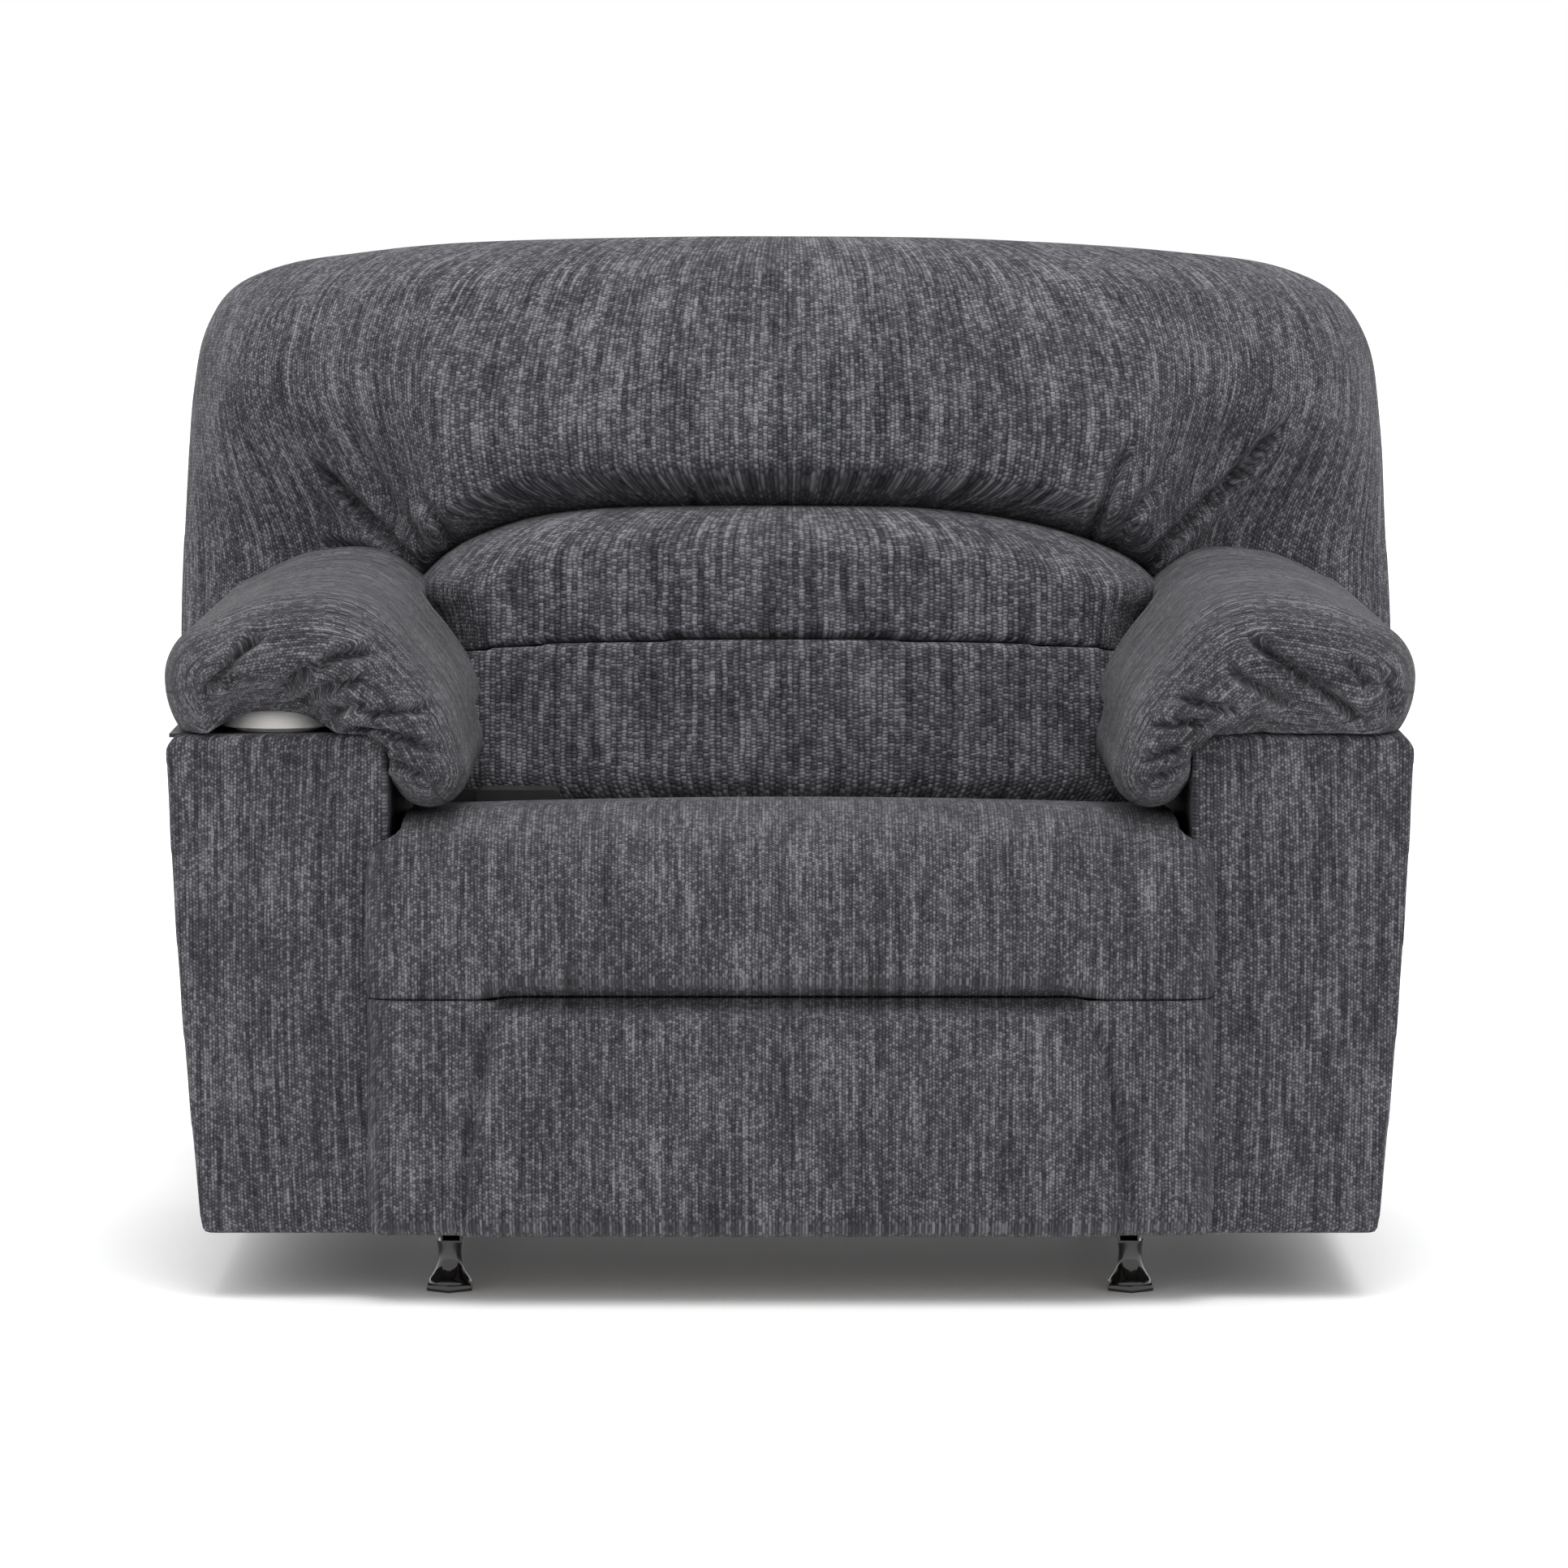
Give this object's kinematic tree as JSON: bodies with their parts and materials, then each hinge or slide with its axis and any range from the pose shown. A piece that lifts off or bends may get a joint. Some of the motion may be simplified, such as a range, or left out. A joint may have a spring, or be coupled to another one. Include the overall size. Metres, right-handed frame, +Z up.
{
  "type": "upholstered recliner armchair",
  "caption": "Extra-wide padded recliner with a zero-gravity tilt, fold-out footrest, saddle arm pillows and a lidded cup holder and tray in one arm.",
  "frame": {"origin": "on the floor, under the middle of the closed chair", "axes": "+Z up, the sitter faces -Y, +X towards the sitter's left"},
  "size_m": [1.368, 1.0093, 1.0756],
  "materials": {
    "chenille": "charcoal heathered chenille weave with vertical streaks",
    "gloss_black_plastic": "polished black",
    "moulded_black": "fine satin moulded",
    "steel_cup": "circular brushed",
    "steel_black": "satin black enamel",
    "zinc_steel": "dull zinc plate",
    "frame_wood": "bare sanded plywood"
  },
  "bodies": {
    "base": {"front_feet": "gloss_black_plastic", "rear_feet": "gloss_black_plastic", "base_rails": "steel_black", "tilt_brackets": "steel_black", "base_cross_tubes": "steel_black", "tilt_pins": "zinc_steel", "foot_bolts": "zinc_steel"},
    "back": {"head_pillow": "chenille", "upper_lumbar_cushion": "chenille", "lower_lumbar_cushion": "chenille", "outside_back_cover": "chenille", "back_stiles": "frame_wood", "wing_boards": "frame_wood", "back_cross_rails": "frame_wood", "back_top_rail": "frame_wood", "back_springs": "zinc_steel", "back_brackets": "steel_black"},
    "drive": {"drive_tube": "steel_black", "drive_links": "steel_black"},
    "follower": {"follower_links": "steel_black"},
    "knee": {"knee_plates": "steel_black", "knee_rivets": "zinc_steel"},
    "front_link": {"inner_links": "steel_black", "footrest_rivets": "zinc_steel", "middle_board": "frame_wood", "middle_pad": "chenille"},
    "footrest": {"footrest_brackets": "steel_black", "footrest_board": "frame_wood", "footrest_pad": "chenille"},
    "arm_lid": {"right_arm_pillow": "chenille", "lid_board": "frame_wood", "lid_hinge_moving_leaf": "zinc_steel"},
    "release": {"release_lever": "steel_black", "release_grip": "moulded_black"},
    "seat_body": {"arm_base_boards": "chenille", "back_pivot_pins": "zinc_steel", "cup_holder": "steel_cup", "follower_rivets": "zinc_steel", "front_seat_rail": "frame_wood", "left_arm_front_panel": "chenille", "left_arm_inner_panel": "chenille", "left_arm_outer_panel": "chenille", "left_arm_pillow": "chenille", "left_arm_rear_panel": "chenille", "left_arm_top_board": "chenille", "left_seat_plate": "steel_black", "lever_pin": "zinc_steel", "lid_hinge_fixed_leaf": "zinc_steel", "lid_hinge_pin": "zinc_steel", "rear_seat_rail": "frame_wood", "right_arm_front_panel": "chenille", "right_arm_inner_panel": "chenille", "right_arm_outer_panel": "chenille", "right_arm_rear_panel": "chenille", "right_arm_rear_pillow": "chenille", "right_seat_plate": "steel_black", "seat_cushion": "chenille", "seat_side_rails": "frame_wood", "seat_springs": "zinc_steel", "storage_tray": "moulded_black"}
  },
  "joints": [
    {"name": "body_tilt", "type": "hinge", "parent": "base", "child": "seat_body", "pos_m": [0, 0.06, 0.2], "axis": [-1, 0, 0], "range_deg": [0, 7]},
    {"name": "back_recline", "type": "hinge", "parent": "seat_body", "child": "back", "pos_m": [0, 0.215, 0.33], "axis": [-1, 0, 0], "range_deg": [0, 38]},
    {"name": "footrest_extend", "type": "hinge", "parent": "seat_body", "child": "drive", "pos_m": [0, -0.3, 0.3], "axis": [-1, 0, 0], "range_deg": [0, 100]},
    {"name": "follower_swing", "type": "hinge", "parent": "seat_body", "child": "follower", "pos_m": [0, -0.272, 0.272], "axis": [-1, 0, 0], "range_deg": [0, 100]},
    {"name": "knee_turn", "type": "hinge", "parent": "drive", "child": "knee", "pos_m": [0, -0.26701, 0.11289], "axis": [-1, 0, 0], "range_deg": [-100, 0]},
    {"name": "front_link_fold", "type": "hinge", "parent": "knee", "child": "front_link", "pos_m": [0, -0.29701, 0.10289], "axis": [-1, 0, 0], "range_deg": [-75, 0]},
    {"name": "footrest_turn", "type": "hinge", "parent": "front_link", "child": "footrest", "pos_m": [0, -0.33, 0.29], "axis": [-1, 0, 0], "range_deg": [0, 165]},
    {"name": "arm_lid_open", "type": "hinge", "parent": "seat_body", "child": "arm_lid", "pos_m": [-0.628, -0.075, 0.589], "axis": [0, -1, 0], "range_deg": [0, 85]},
    {"name": "release_pull", "type": "hinge", "parent": "seat_body", "child": "release", "pos_m": [0, 0.15, 0.42], "axis": [-1, 0, 0], "range_deg": [0, 20], "stiffness_Nm_per_rad": 3, "springref_deg": -8.59}
  ],
  "couplings": [
    {"joint": "body_tilt", "follows": "back_recline", "ratio": 0.18421},
    {"joint": "follower_swing", "follows": "footrest_extend", "ratio": 1},
    {"joint": "knee_turn", "follows": "footrest_extend", "ratio": -1},
    {"joint": "front_link_fold", "follows": "footrest_extend", "ratio": -0.75},
    {"joint": "footrest_turn", "follows": "footrest_extend", "ratio": 1.65}
  ]
}
